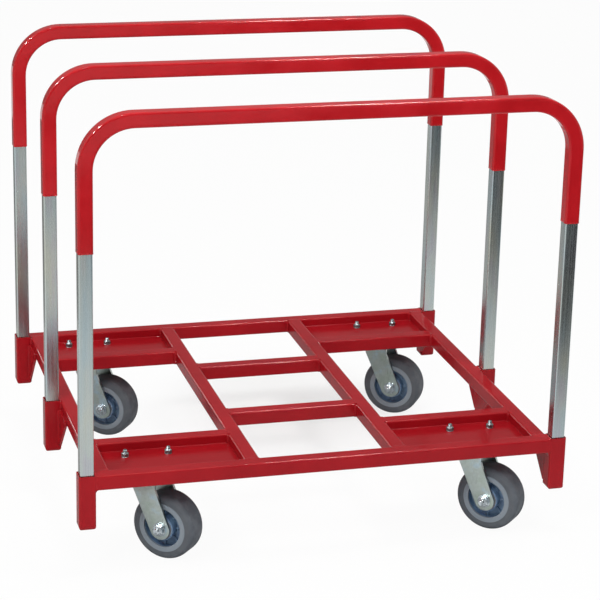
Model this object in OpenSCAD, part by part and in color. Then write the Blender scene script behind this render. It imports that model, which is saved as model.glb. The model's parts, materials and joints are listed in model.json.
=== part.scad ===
// Panel cart for drywall sheets: a welded deck of square tube on four swivel casters,
// with three lift-out inverted-U uprights standing in pockets on the end rails.
// Millimetres, +X along the deck, +Y to the rear, +Z up, origin on the floor under the middle.

/* [Deck frame] */
// Length over the outer faces of the end rails
frame_l = 876; // [780:1:1100]
// Depth from the front face to the rear face
frame_w = 812; // [740:1:1000]
// Side of the square frame tube
rail_s = 28.6; // [27:0.1:32]
// Wall of the frame tube
rail_wall = 2; // [1.5:0.1:3]
// Outside corner radius of the frame tube
rail_r = 4; // [2.5:0.1:5]
// Distance between the centre lines of the two long beams
beam_pitch = 284; // [220:1:320]
// Distance between the centre lines of the two cross members
cross_pitch = 265; // [180:1:330]
// Clear gap between a front or rear rail and its pocket rails
pocket_gap = 125; // [118:1:150]
// Thickness of the caster pans
pan_t = 4.8; // [3:0.1:6]
// Drop from the deck top to the top of the pans
pan_drop = 18; // [16:0.5:20]

/* [Upright sockets] */
// Height of a socket from its closed end to the deck top
socket_h = 106; // [80:1:120]
// Wall of the socket tube
socket_wall = 1.7; // [1.5:0.1:2.5]
// Clearance on each side of an upright in its socket
socket_play = 1.5; // [0.8:0.1:2]
// Thickness of the socket's closed end
socket_floor = 8; // [3:0.5:12]
// Outside corner radius of the socket tube
socket_r = 4; // [3:0.1:5]
// Rounding of the socket's lower edges
socket_toe_r = 9; // [2:0.5:12]
// Thickness of the gusset plates
gusset_t = 4.8; // [3:0.1:6]
// Reach of a gusset along the rail, from the socket's face
gusset_out = 68; // [40:1:80]
// Fall of a gusset's slope, from the rail down the socket
gusset_fall = 66; // [40:1:68]
// Lap of a gusset on the end rail's outer face
gusset_lap = 12; // [8:0.5:18]

/* [Uprights] */
// Side of the square upright tube
upright_s = 25.4; // [22:0.1:28]
// Wall of the upright tube
upright_wall = 1.65; // [1.2:0.05:2.5]
// Outside corner radius of the upright tube
upright_r = 2.6; // [1.8:0.1:4]
// Height of the upright tube's top face above the deck
upright_h = 666; // [500:1:900]
// Centre-line radius of the two bends
bend_r = 88; // [60:1:140]
// Thickness of the dipped coat
coat_t = 1.3; // [0.8:0.1:2]
// Length of the dipped coat on the left legs, down from the top face
coat_l = 248; // [160:1:400]
// Rise of the coat's end on the right legs above the left ones
coat_rise = 8; // [0:0.5:20]

/* [Casters] */
// Wheel diameter
wheel_d = 127; // [110:1:135]
// Tread width
tread_w = 47.6; // [42:0.2:52]
// Trail of the axle behind the kingpin
lead = 38; // [34:0.5:42]
// Inset of the kingpins from the end rails' outer faces
caster_inset = 118; // [116:1:150]
// Gap from the wheel to the fork crown
crown_gap = 27; // [22:0.5:36]
// Thickness of the fork sheet
fork_t = 5.5; // [4.5:0.1:7]
// Thickness of the top plate
plate_t = 6; // [5:0.1:8]
// Top plate size along the deck
plate_l = 114; // [108:1:124]
// Top plate size across the deck
plate_w = 102; // [96:1:110]
// Bolt spacing along the deck
bolt_pitch_x = 82; // [76:1:90]
// Bolt spacing across the deck
bolt_pitch_y = 72; // [66:1:80]
// Bolt diameter
bolt_d = 8; // [6:0.5:10]
// Axle bolt diameter
axle_d = 12.7; // [10:0.1:14]
// Outside diameter of the axle sleeve
sleeve_d = 19; // [17:0.1:22]
// Kingpin diameter
kingpin_d = 16; // [14:0.5:18]

/* [Rest pose] */
// Axle heading of the front left caster, from +X
swing_fl = 49; // [0:1:359]
// Axle heading of the front right caster
swing_fr = 46; // [0:1:359]
// Axle heading of the rear left caster
swing_rl = 55; // [0:1:359]
// Axle heading of the rear right caster
swing_rr = 56; // [0:1:359]

/* [Hidden] */
$fn = 64;
corner_tags = ["fl", "fr", "rl", "rr"];
corner_side = [-1, 1, -1, 1];
corner_end = [-1, -1, 1, 1];
corner_swing = [swing_fl, swing_fr, swing_rl, swing_rr];
row_tags = ["f", "m", "r"];
row_names = ["front", "middle", "rear"];
row_end = [-1, 0, 1];
side_tags = ["l", "r"];
side_sign = [-1, 1];
paint = "#a3181d";
zinc = "#b4bab8";
dip = "#c4161c";
blue = "#3c466e";
grey = "#5c5e61";

// Overrun of every cut past the face it opens
overrun = 2;
// Running clearance, on the radius, of turning fits
running = 0.05;
// Clearance, on the radius, of bolts in holes
bolt_play = 0.5;
// Gap that keeps bonded curved faces apart
bond = 0.05;
// Gap between faces that must not rub
rub_gap = 0.3;
// Inside corner radius of a tube as a share of the outside one
tube_in_share = 0.35;

// Caster heights, from the floor up
wheel_r = wheel_d / 2;
crown_z = wheel_d + crown_gap;
crown_top = crown_z + fork_t;
race_gap = 2.2;
race_t = 6.8;
race_z = crown_top + race_gap;
plate_z = race_z + race_t;
caster_h = plate_z + plate_t;
pan_z = caster_h;
deck_z = pan_z + pan_t + pan_drop;
rail_z = deck_z - rail_s;

// Frame places
rail_y = frame_w / 2 - rail_s / 2;
end_x = frame_l / 2 - rail_s / 2;
pocket_y = rail_y - rail_s - pocket_gap;
rail_inner_y = frame_w / 2 - rail_s;
pan_y = rail_inner_y - pocket_gap / 2;
pan_x0 = beam_pitch / 2 + rail_s / 2;
pan_x1 = frame_l / 2 - rail_s;
caster_x = frame_l / 2 - caster_inset;

// Socket places
socket_in = upright_s + 2 * socket_play;
socket_s = socket_in + 2 * socket_wall;
socket_x = frame_l / 2 + socket_s / 2;
socket_y = frame_w / 2 - socket_s / 2;
socket_z = deck_z - socket_h;
seat_z = socket_z + socket_floor;
socket_in_r = socket_r - socket_wall;

// Upright places
bar_z = deck_z + upright_h - upright_s / 2;
coat_z = deck_z + upright_h - coat_l;
coat_s = upright_s + 2 * coat_t;
coat_r = upright_r + coat_t;

// Hub and fork widths across the wheel
hub_stand = 3.2;
hub_play = 1;
hub_l = tread_w + 2 * hub_stand;
fork_in = hub_l + 2 * hub_play;
fork_out = fork_in + 2 * fork_t;
fork_bend_r = 12;

// Fork side outline, in trail and height
leg_back = 20;
leg_front = 27;
leg_shoulder = 14;
leg_end_r = 20;

// Swivel bearing
ball_d = 7;
ball_n = 18;
ball_z = crown_top + race_gap / 2;
race_pitch_r = 25;
race_out_r = 33;
race_lip_t = 3.5;
groove_r = ball_d / 2 + rub_gap;
head_d = 26;
head_t = 5;
foot_d = 30;
foot_t = 6;
foot_round = 2;

// Fasteners: across-flats sizes and heights
bolt_flats = 13;
bolt_head_t = 5.3;
nut_t = 6.5;
bolt_past_nut = 1.5;
axle_flats = 19;
axle_head_t = 8;
axle_nut_t = 11;
axle_past_nut = 4;

// Wheel profile
bore_r = sleeve_d / 2 + running;
hub_r = 24;
hub_edge = 1.5;
web_t = 16;
rim_in_r = 38;
rim_t = 4;
rim_r = rim_in_r + rim_t;
lip_t = 4;
lip_out = 0.6;
lip_ring = 9.5;
shoulder_r = 9.5;
rib_n = 8;
rib_t = 3;
rib_set = 8;
plate_corner_r = 10;

// Flat-to-flat size of a hexagon to the diameter over its corners
function over_corners(flats) = flats / cos(30);

// Point where a line from p touches the circle about c, on the side given by turn
function touch(p, c, r, turn) =
    let (d = norm(p - c), base = atan2(p[1] - c[1], p[0] - c[0]), a = base + turn * acos(r / d))
    [c[0] + r * cos(a), c[1] + r * sin(a)];

module round_rect(w, h, r) {
    square([w - 2 * r, h], center = true);
    square([w, h - 2 * r], center = true);
    for (x = [-1, 1], y = [-1, 1])
        translate([x * (w / 2 - r), y * (h / 2 - r)])
            circle(r);
}

module tube_profile(s, wall, r) {
    difference() {
        round_rect(s, s, r);
        round_rect(s - 2 * wall, s - 2 * wall, r * tube_in_share);
    }
}

// Frame tube along X, centred on y, with its top on the deck
module tube_x(x0, x1, y) {
    translate([x0, y, deck_z - rail_s / 2])
        rotate([0, 90, 0])
            linear_extrude(x1 - x0)
                tube_profile(rail_s, rail_wall, rail_r);
}

// Frame tube along Y, centred on x, with its top on the deck
module tube_y(x, y0, y1) {
    translate([x, y1, deck_z - rail_s / 2])
        rotate([90, 0, 0])
            linear_extrude(y1 - y0)
                tube_profile(rail_s, rail_wall, rail_r);
}

module long_rail(end) {
    color(paint)
        tube_x(-frame_l / 2, frame_l / 2, end * rail_y);
}

module end_rail(side) {
    color(paint)
        tube_y(side * end_x, -rail_inner_y, rail_inner_y);
}

module beam(side) {
    color(paint)
        tube_y(side * beam_pitch / 2, -rail_inner_y, rail_inner_y);
}

module cross_member(end) {
    color(paint)
        tube_x(-beam_pitch / 2 + rail_s / 2, beam_pitch / 2 - rail_s / 2, end * cross_pitch / 2);
}

module pocket_rail(i) {
    color(paint)
        if (corner_side[i] < 0)
            tube_x(-pan_x1, -pan_x0, corner_end[i] * pocket_y);
        else
            tube_x(pan_x0, pan_x1, corner_end[i] * pocket_y);
}

// Four copies on the caster bolt pattern
module on_bolts() {
    for (x = [-1, 1], y = [-1, 1])
        translate([x * bolt_pitch_x / 2, y * bolt_pitch_y / 2, 0])
            children();
}

module at_corner(i) {
    translate([corner_side[i] * caster_x, corner_end[i] * pan_y, 0])
        children();
}

module caster_pan(i) {
    pan_l = pan_x1 - pan_x0;
    pan_mid = (pan_x0 + pan_x1) / 2;
    color(paint)
        difference() {
            translate([corner_side[i] * pan_mid, corner_end[i] * pan_y, pan_z + pan_t / 2])
                cube([pan_l, pocket_gap, pan_t], center = true);
            at_corner(i)
                on_bolts()
                    translate([0, 0, pan_z - overrun])
                        cylinder(h = pan_t + 2 * overrun, d = bolt_d + 2 * bolt_play);
        }
}

// Upright slab of width w and height h, with its lower corners rounded
module toe_profile(w, h, r) {
    translate([-w / 2, r])
        square([w, h - r]);
    translate([-w / 2 + r, 0])
        square([w - 2 * r, h]);
    for (x = [-1, 1])
        translate([x * (w / 2 - r), r])
            circle(r);
}

// Block that rounds a socket's lower edges along one direction
module toe_block(turn) {
    rotate([0, 0, turn])
        translate([0, socket_s, 0])
            rotate([90, 0, 0])
                linear_extrude(2 * socket_s)
                    toe_profile(socket_s, socket_h, socket_toe_r);
}

module socket(side, end) {
    color(paint)
        translate([side * socket_x, end * socket_y, socket_z])
            difference() {
                intersection() {
                    linear_extrude(socket_h)
                        round_rect(socket_s, socket_s, socket_r);
                    toe_block(0);
                    toe_block(90);
                }
                translate([0, 0, socket_floor])
                    linear_extrude(socket_h)
                        round_rect(socket_in, socket_in, socket_in_r);
            }
}

// Plates beside a socket, flush with its inner face and lapped on the end rail, sloping to the free side or sides
module gusset(side, end) {
    for (way = [-1, 1])
        if (way != end)
            translate([side * (frame_l / 2 + gusset_t / 2), end * socket_y + way * socket_s / 2, rail_z])
                rotate([90, 0, 90])
                    translate([0, 0, -gusset_t / 2])
                        linear_extrude(gusset_t)
                            polygon([
                                [0, -gusset_fall], [way * gusset_out, 0], [way * gusset_out, gusset_lap], [0, gusset_lap]
                            ]);
}

module gusset_plates() {
    color(paint)
        for (side = side_sign, end = row_end)
            gusset(side, end);
}

// Solid sweep of a rounded square along an upright's path, from the heights z of its right and left feet
module arch(s, r, z) {
    half = socket_x - bend_r;
    for (side = [0, 1])
        mirror([side, 0, 0]) {
            translate([socket_x, 0, z[side]])
                linear_extrude(bar_z - bend_r - z[side])
                    round_rect(s, s, r);
            translate([half, 0, bar_z - bend_r])
                rotate([90, 0, 0])
                    rotate_extrude(angle = 90)
                        translate([bend_r, 0])
                            round_rect(s, s, r);
        }
    translate([-half, 0, bar_z])
        rotate([0, 90, 0])
            linear_extrude(2 * half)
                round_rect(s, s, r);
}

module upright(row) {
    bore = upright_s - 2 * upright_wall;
    color(zinc)
        translate([0, row_end[row] * socket_y, 0])
            difference() {
                arch(upright_s, upright_r, [seat_z, seat_z]);
                arch(bore, upright_r * tube_in_share, [seat_z - overrun, seat_z - overrun]);
            }
}

module dip_coat(row) {
    color(dip)
        translate([0, row_end[row] * socket_y, 0])
            difference() {
                arch(coat_s, coat_r, [coat_z + coat_rise, coat_z]);
                arch(upright_s + 2 * bond, upright_r + bond, [coat_z + coat_rise - overrun, coat_z - overrun]);
            }
}

module caster_bolts() {
    shank = plate_t + pan_t + nut_t + bolt_past_nut;
    color(zinc)
        for (i = [0:3])
            at_corner(i)
                on_bolts() {
                    translate([0, 0, plate_z - bolt_head_t])
                        cylinder(h = bolt_head_t, d = over_corners(bolt_flats), $fn = 6);
                    translate([0, 0, plate_z])
                        cylinder(h = shank, d = bolt_d);
                }
}

module caster_nuts() {
    color(zinc)
        for (i = [0:3])
            at_corner(i)
                on_bolts()
                    translate([0, 0, pan_z + pan_t])
                        difference() {
                            cylinder(h = nut_t, d = over_corners(bolt_flats), $fn = 6);
                            translate([0, 0, -overrun])
                                cylinder(h = nut_t + 2 * overrun, d = bolt_d + 2 * running);
                        }
}

// Circular groove that the swivel balls run in
module ball_groove() {
    translate([0, 0, ball_z])
        rotate_extrude()
            translate([race_pitch_r, 0])
                circle(groove_r);
}

module top_plate(i) {
    color(zinc)
        at_corner(i)
            difference() {
                union() {
                    translate([0, 0, plate_z])
                        linear_extrude(plate_t)
                            round_rect(plate_l, plate_w, plate_corner_r);
                    translate([0, 0, race_z])
                        cylinder(h = race_t, r = race_out_r);
                }
                ball_groove();
                translate([0, 0, race_z - overrun])
                    cylinder(h = caster_h - race_z, d = kingpin_d + 2 * running);
                translate([0, 0, caster_h - head_t])
                    cylinder(h = head_t + overrun, d = head_d + 2 * running);
                on_bolts()
                    translate([0, 0, plate_z - overrun])
                        cylinder(h = plate_t + 2 * overrun, d = bolt_d + 2 * bolt_play);
            }
}

// Headed pin that holds the fork to the top plate, with a rounded foot under the crown
module kingpin(i) {
    foot_z = crown_z - rub_gap - foot_t;
    head_z = caster_h - head_t;
    color(zinc)
        at_corner(i) {
            translate([0, 0, head_z])
                cylinder(h = head_t - rub_gap, d = head_d);
            translate([0, 0, foot_z])
                cylinder(h = head_z - foot_z, d = kingpin_d);
            translate([0, 0, foot_z])
                rotate_extrude() {
                    square([foot_d / 2 - foot_round, foot_t]);
                    translate([0, foot_round])
                        square([foot_d / 2, foot_t - foot_round]);
                    translate([foot_d / 2 - foot_round, foot_round])
                        circle(foot_round);
                }
        }
}

// Caster frame: origin under the kingpin, +X along the trail, +Y along the axle
module at_caster(i) {
    at_corner(i)
        rotate([0, 0, corner_swing[i] - 90])
            children();
}

module swivel_balls(i) {
    color(zinc)
        at_caster(i)
            for (k = [0:ball_n - 1])
                rotate([0, 0, k * 360 / ball_n])
                    translate([race_pitch_r, 0, ball_z])
                        sphere(d = ball_d);
}

// Outline of the bent sheet seen along the trail: an inverted U
module fork_section(width, top, r) {
    square_h = top - r;
    translate([-width / 2, 0])
        square([width, square_h]);
    translate([-width / 2 + r, 0])
        square([width - 2 * r, top]);
    for (side = [-1, 1])
        translate([side * (width / 2 - r), square_h])
            circle(r);
}

// Outline of a fork leg seen along the axle: an upright neck, then a slanted leg with a round end
module leg_outline() {
    axle_at = [lead, wheel_r];
    front_at = [leg_front, crown_z - leg_shoulder];
    back_at = [-leg_back, crown_z - leg_shoulder];
    polygon([
        back_at, [-leg_back, crown_top], [leg_front, crown_top], front_at,
        touch(front_at, axle_at, leg_end_r, -1), axle_at, touch(back_at, axle_at, leg_end_r, 1)
    ]);
    translate(axle_at)
        circle(leg_end_r);
}

module fork(i) {
    reach = lead + leg_end_r + leg_back;
    color(zinc)
        at_caster(i)
            difference() {
                union() {
                    intersection() {
                        translate([-leg_back, 0, 0])
                            rotate([90, 0, 90])
                                linear_extrude(reach)
                                    difference() {
                                        fork_section(fork_out, crown_top, fork_bend_r);
                                        translate([0, -overrun])
                                            fork_section(fork_in, crown_z + overrun, fork_bend_r - fork_t);
                                    }
                        translate([0, fork_out / 2, 0])
                            rotate([90, 0, 0])
                                linear_extrude(fork_out)
                                    leg_outline();
                    }
                    translate([0, 0, crown_top - race_lip_t])
                        cylinder(h = race_lip_t, r = race_out_r);
                }
                ball_groove();
                translate([0, 0, crown_z - overrun])
                    cylinder(h = fork_t + 2 * overrun, d = kingpin_d + 2 * running);
                translate([lead, 0, wheel_r])
                    rotate([90, 0, 0])
                        cylinder(h = fork_out + 2 * overrun, d = axle_d + 2 * running, center = true);
            }
}

// Wheel frame: origin at the wheel's centre, +Z along the axle
module at_wheel(i) {
    at_caster(i)
        translate([lead, 0, wheel_r])
            rotate([-90, 0, 0])
                children();
}

// Bolt and nut through the fork, with the sleeve that the legs clamp and the hub turns on
module axle(i) {
    color(zinc)
        at_wheel(i) {
            translate([0, 0, fork_out / 2])
                cylinder(h = axle_head_t, d = over_corners(axle_flats), $fn = 6);
            translate([0, 0, -fork_out / 2 - axle_nut_t - axle_past_nut])
                cylinder(h = fork_out + axle_nut_t + axle_past_nut, d = axle_d);
            translate([0, 0, -fork_out / 2 - axle_nut_t])
                difference() {
                    cylinder(h = axle_nut_t, d = over_corners(axle_flats), $fn = 6);
                    translate([0, 0, -overrun])
                        cylinder(h = axle_nut_t + 2 * overrun, d = axle_d + 2 * running);
                }
            difference() {
                cylinder(h = fork_in, d = sleeve_d, center = true);
                cylinder(h = fork_in + 2 * overrun, d = axle_d + 2 * running, center = true);
            }
        }
}

// Moulded core: hub with broken edges, web, rim and ribs on both sides
module wheel_core(i) {
    rim_w = tread_w - 2 * lip_t;
    rib_w = rim_w - 2 * rib_set;
    color(blue)
        at_wheel(i)
            difference() {
                union() {
                    rotate_extrude()
                        for (side = [0, 1])
                            mirror([0, side])
                                polygon([
                                    [0, 0], [rim_r - bond, 0], [rim_r - bond, rim_w / 2 - bond],
                                    [rim_in_r, rim_w / 2 - bond], [rim_in_r, web_t / 2], [hub_r, web_t / 2],
                                    [hub_r, hub_l / 2 - hub_edge], [hub_r - hub_edge, hub_l / 2], [0, hub_l / 2]
                                ]);
                    for (k = [0:rib_n - 1])
                        rotate([0, 0, k * 360 / rib_n])
                            translate([(hub_r + rim_in_r) / 2, 0, 0])
                                cube([rim_r - hub_r, rib_t, rib_w], center = true);
                }
                cylinder(h = hub_l + 2 * overrun, r = bore_r, center = true);
            }
}

// Tyre: round-shouldered tread that wraps the rim with a flat raised ring on each side
module tyre(i) {
    lip_h = tread_w / 2 + lip_out;
    color(grey)
        at_wheel(i)
            rotate_extrude()
                difference() {
                    union() {
                        translate([rim_in_r, -tread_w / 2])
                            square([wheel_r - shoulder_r - rim_in_r, tread_w]);
                        translate([rim_in_r, -tread_w / 2 + shoulder_r])
                            square([wheel_r - rim_in_r, tread_w - 2 * shoulder_r]);
                        for (side = [-1, 1])
                            translate([wheel_r - shoulder_r, side * (tread_w / 2 - shoulder_r)])
                                circle(shoulder_r);
                        translate([rim_in_r, -lip_h])
                            square([lip_ring, 2 * lip_h]);
                    }
                    translate([rim_in_r - overrun, -tread_w / 2 + lip_t])
                        square([rim_t + overrun, tread_w - 2 * lip_t]);
                }
}

long_rail(-1);  // front_rail
long_rail(1);  // rear_rail
end_rail(-1);  // left_rail
end_rail(1);  // right_rail
beam(-1);  // left_beam
beam(1);  // right_beam
cross_member(-1);  // front_cross
cross_member(1);  // rear_cross
gusset_plates();
caster_bolts();
caster_nuts();
for (row = [0:2]) {
    upright(row);
    dip_coat(row);
    for (k = [0, 1])
        socket(side_sign[k], row_end[row]);
}
for (i = [0:3]) {
    pocket_rail(i);
    caster_pan(i);
    top_plate(i);
    kingpin(i);
    swivel_balls(i);
    fork(i);
    axle(i);
    wheel_core(i);
    tyre(i);
}
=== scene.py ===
import json
import math
import random

import bmesh
import bpy
from mathutils import Matrix, Vector


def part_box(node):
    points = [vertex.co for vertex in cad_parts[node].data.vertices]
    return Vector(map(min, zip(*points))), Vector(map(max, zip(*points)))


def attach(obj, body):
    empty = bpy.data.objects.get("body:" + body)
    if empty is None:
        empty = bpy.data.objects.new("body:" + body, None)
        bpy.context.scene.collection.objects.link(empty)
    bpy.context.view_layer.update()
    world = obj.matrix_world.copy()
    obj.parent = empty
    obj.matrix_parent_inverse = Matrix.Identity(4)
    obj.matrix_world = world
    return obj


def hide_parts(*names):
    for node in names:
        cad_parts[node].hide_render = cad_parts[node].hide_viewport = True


# Panel cart for drywall sheets: finishes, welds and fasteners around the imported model. The scene is in metres, and
# sizes in the settings of finishes, welds and fasteners are in millimetres.
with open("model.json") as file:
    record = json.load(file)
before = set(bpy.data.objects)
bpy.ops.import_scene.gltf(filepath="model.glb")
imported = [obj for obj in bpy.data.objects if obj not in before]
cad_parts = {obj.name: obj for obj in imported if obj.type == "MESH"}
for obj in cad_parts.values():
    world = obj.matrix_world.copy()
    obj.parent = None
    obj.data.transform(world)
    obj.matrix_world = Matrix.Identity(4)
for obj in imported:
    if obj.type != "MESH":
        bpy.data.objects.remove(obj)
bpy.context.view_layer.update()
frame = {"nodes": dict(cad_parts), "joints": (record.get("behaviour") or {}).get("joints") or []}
scene = bpy.context.scene
nodes = frame["nodes"]
joints = {joint["name"]: joint for joint in frame["joints"]}
mm = 0.001
fullTurn = 6.28  # range of a random start, about one turn
axisX, axisY, axisZ = Vector((1, 0, 0)), Vector((0, 1, 0)), Vector((0, 0, 1))
cornerTags = ("fl", "fr", "rl", "rr")
rowNames = ("front", "middle", "rear")

# Camera at the photograph's viewing angle, worked out for a 600 by 600 picture
view = dict(place=(-1.07016, -3.97991, 1.72308), yaw=-15.7031, pitch=18.1162, roll=1.4235, focalPixels=2170.27,
            picture=600, sensor=36, farEdge=60)


def makeCamera():
    yaw, pitch, roll = (math.radians(view[key]) for key in ("yaw", "pitch", "roll"))
    ahead = Vector((-math.sin(yaw) * math.cos(pitch), math.cos(yaw) * math.cos(pitch), -math.sin(pitch)))
    right = ahead.cross(axisZ).normalized()
    down = ahead.cross(right)
    turnedRight = math.cos(roll) * right - math.sin(roll) * down
    turnedDown = math.sin(roll) * right + math.cos(roll) * down
    lens = bpy.data.cameras.new("cartCamera")
    lens.sensor_width = view["sensor"]
    lens.lens = view["focalPixels"] * view["sensor"] / view["picture"]
    lens.clip_end = view["farEdge"]
    camera = bpy.data.objects.new("cartCamera", lens)
    scene.collection.objects.link(camera)
    turn = Matrix((turnedRight, -turnedDown, -ahead)).transposed().to_4x4()
    camera.matrix_world = Matrix.Translation(view["place"]) @ turn
    scene.camera = camera


makeCamera()
print("camera set")


def hexToLinear(code):
    parts = [int(code[i:i + 2], 16) / 255 for i in (1, 3, 5)]
    return [p / 12.92 if p <= 0.04045 else ((p + 0.055) / 1.055) ** 2.4 for p in parts] + [1]


# a colour is given as its sRGB hex value
def setInputs(tree, node, inputs):
    for key, value in inputs.items():
        if isinstance(value, bpy.types.NodeSocket):
            tree.links.new(value, node.inputs[key])
        else:
            node.inputs[key].default_value = hexToLinear(value) if isinstance(value, str) else value


def addNode(tree, kind, inputs=None, **settings):
    node = tree.nodes.new("ShaderNode" + kind)
    for key, value in settings.items():
        setattr(node, key, value)
    setInputs(tree, node, inputs or {})
    return node


def emptyTree(holder):
    holder.use_nodes = True
    holder.node_tree.nodes.clear()
    return holder.node_tree


def startFinish(name):
    finish = bpy.data.materials.new(name)
    tree = emptyTree(finish)
    shader = addNode(tree, "BsdfPrincipled")
    addNode(tree, "OutputMaterial", {"Surface": shader.outputs[0]})
    place = addNode(tree, "TexCoord").outputs["Object"]
    return finish, tree, shader, place


# Sharp edges of a finish: the normal as if they were rounded, and a share that rises where it leaves the true normal
def findEdges(tree, look, start, stop, share=1.0):
    rounded = addNode(tree, "Bevel", {"Radius": look["edgeRound"] * mm}, samples=6).outputs[0]
    flat = addNode(tree, "NewGeometry").outputs["Normal"]
    turned = addNode(tree, "VectorMath", {0: rounded, 1: flat}, operation="DOT_PRODUCT").outputs["Value"]
    return rounded, addNode(tree, "MapRange", {0: turned, 1: start, 2: stop, 4: share}).outputs[0]


# Pattern place for marks longer one way: their size in millimetres along x, y and z
def markPlace(tree, place, sizes):
    perMetre = [1 / (size * mm) for size in sizes]
    return addNode(tree, "VectorMath", {0: place, 1: perMetre}, operation="MULTIPLY").outputs[0]


# Polyester powder coat baked on welded steel tube: an even glossy red that mirrors what stands on it, with a faint
# orange peel, a little thinner and paler on the tube corners, and painted shade in the inside corners. The pans let
# in below the deck top have painted shade and are duller. Weld beads have no thin corners, so they take it with no
# edge colour.
# deep is the colour of the painted shade in the inside corners and in the pans
powder = dict(red="#a5151e", shade="#99121b", thin="#b8403c", deep="#6d1014", rub="#b5524c", cloudSize=120,
              peelSize=2.8, speckSize=0.9, rubSize=(70, 3, 3), edgeRound=1.1, paintedShadeReach=10, panLevel=(182, 186),
              panShadeShare=0.12, panDull=0.04, gloss=0.14, specular=0.14, bump=0.07, bumpDeep=0.3)


def makePowderCoat(name, edgeShare):
    finish, tree, shader, place = startFinish(name)
    cloud = addNode(tree, "TexNoise", {"Vector": place, "Scale": 1 / (powder["cloudSize"] * mm), "Detail": 4,
                                       "Roughness": 0.6}).outputs[0]
    peel = addNode(tree, "TexNoise", {"Vector": place, "Scale": 1 / (powder["peelSize"] * mm),
                                      "Detail": 1.5}).outputs[0]
    speck = addNode(tree, "TexNoise", {"Vector": place, "Scale": 1 / (powder["speckSize"] * mm),
                                       "Detail": 2}).outputs[0]
    rounded, sharp = findEdges(tree, powder, 0.995, 0.86)
    flat = addNode(tree, "NewGeometry").outputs["Normal"]
    # tube corners: where the normal points along no axis
    size = addNode(tree, "VectorMath", {0: flat}, operation="ABSOLUTE").outputs[0]
    split = addNode(tree, "SeparateXYZ", {0: size})
    wide = addNode(tree, "Math", {0: split.outputs[0], 1: split.outputs[1]}, operation="MAXIMUM").outputs[0]
    most = addNode(tree, "Math", {0: wide, 1: split.outputs[2]}, operation="MAXIMUM").outputs[0]
    bend = addNode(tree, "MapRange", {0: most, 1: 0.985, 2: 0.74}).outputs[0]
    edge = addNode(tree, "Math", {0: bend, 1: sharp}, operation="MAXIMUM").outputs[0]
    worn = addNode(tree, "MapRange", {0: cloud, 1: 0.4, 2: 0.62, 3: 0.08 * edgeShare,
                                      4: 0.3 * edgeShare}).outputs[0]
    edgeWear = addNode(tree, "Math", {0: edge, 1: worn}, operation="MULTIPLY").outputs[0]
    # faint rubs along the deck where sheets slide, on faces that look up
    stretch = markPlace(tree, place, powder["rubSize"])
    streak = addNode(tree, "TexNoise", {"Vector": stretch, "Scale": 1.0, "Detail": 3}).outputs[0]
    line = addNode(tree, "MapRange", {0: streak, 1: 0.58, 2: 0.74, 4: 0.14}).outputs[0]
    upward = addNode(tree, "SeparateXYZ", {0: flat}).outputs[2]
    top = addNode(tree, "MapRange", {0: upward, 1: 0.9, 2: 0.98}).outputs[0]
    rubbed = addNode(tree, "Math", {0: line, 1: top}, operation="MULTIPLY").outputs[0]
    height = addNode(tree, "SeparateXYZ", {0: place}).outputs[2]
    low = addNode(tree, "MapRange", {0: height, 1: powder["panLevel"][1] * mm,
                                     2: powder["panLevel"][0] * mm}).outputs[0]
    sunk = addNode(tree, "Math", {0: low, 1: top}, operation="MULTIPLY").outputs[0]
    # painted shade: the inside corners, found by occlusion, and the pans' floors below the deck top mix towards the
    # deep red
    openness = addNode(tree, "AmbientOcclusion", {"Distance": powder["paintedShadeReach"] * mm}, samples=6).outputs["AO"]
    occlusionShade = addNode(tree, "MapRange", {0: openness, 1: 0.6, 2: 0.2, 4: 0.15}).outputs[0]
    corner = addNode(tree, "Math", {0: sunk, 1: powder["panShadeShare"], 2: occlusionShade}, operation="MULTIPLY_ADD").outputs[0]
    tone = addNode(tree, "MapRange", {0: cloud, 1: 0.32, 2: 0.68}).outputs[0]
    body = addNode(tree, "Mix", {0: tone, 6: powder["shade"], 7: powder["red"]}, data_type="RGBA").outputs[2]
    edged = addNode(tree, "Mix", {0: edgeWear, 6: body, 7: powder["thin"]}, data_type="RGBA").outputs[2]
    scuffed = addNode(tree, "Mix", {0: rubbed, 6: edged, 7: powder["rub"]}, data_type="RGBA").outputs[2]
    colour = addNode(tree, "Mix", {0: corner, 6: scuffed, 7: powder["deep"]}, data_type="RGBA").outputs[2]
    gloss = addNode(tree, "MapRange", {0: cloud, 1: 0.3, 2: 0.7, 3: powder["gloss"] - 0.04,
                                       4: powder["gloss"] + 0.05}).outputs[0]
    flatter = addNode(tree, "Math", {0: sunk, 1: powder["panDull"], 2: gloss}, operation="MULTIPLY_ADD").outputs[0]
    dull = addNode(tree, "Math", {0: rubbed, 1: 0.3, 2: flatter}, operation="MULTIPLY_ADD").outputs[0]
    relief = addNode(tree, "Math", {0: speck, 1: 0.25, 2: peel}, operation="MULTIPLY_ADD").outputs[0]
    bump = addNode(tree, "Bump", {"Strength": powder["bump"], "Distance": powder["bumpDeep"] * mm, "Height": relief,
                                  "Normal": rounded}).outputs[0]
    setInputs(tree, shader, {"Base Color": colour, "Roughness": dull, "Normal": bump,
                             "Specular IOR Level": powder["specular"], "IOR": 1.5})
    return finish


# Electroplated zinc on drawn square tube: a grey mirror gone soft, with draw lines along the tube and
# faint straw, blue and violet clouds from the passivate.
tubeZinc = dict(grey="#b5bdba", blue="#a8bac0", straw="#bdbeaf", violet="#b3adb8", lineSize=(2.4, 2.4, 260),
                hairSize=(0.5, 0.5, 260), cloudSize=(30, 30, 150), soft=0.24, bump=0.07, bumpDeep=0.15)


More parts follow.
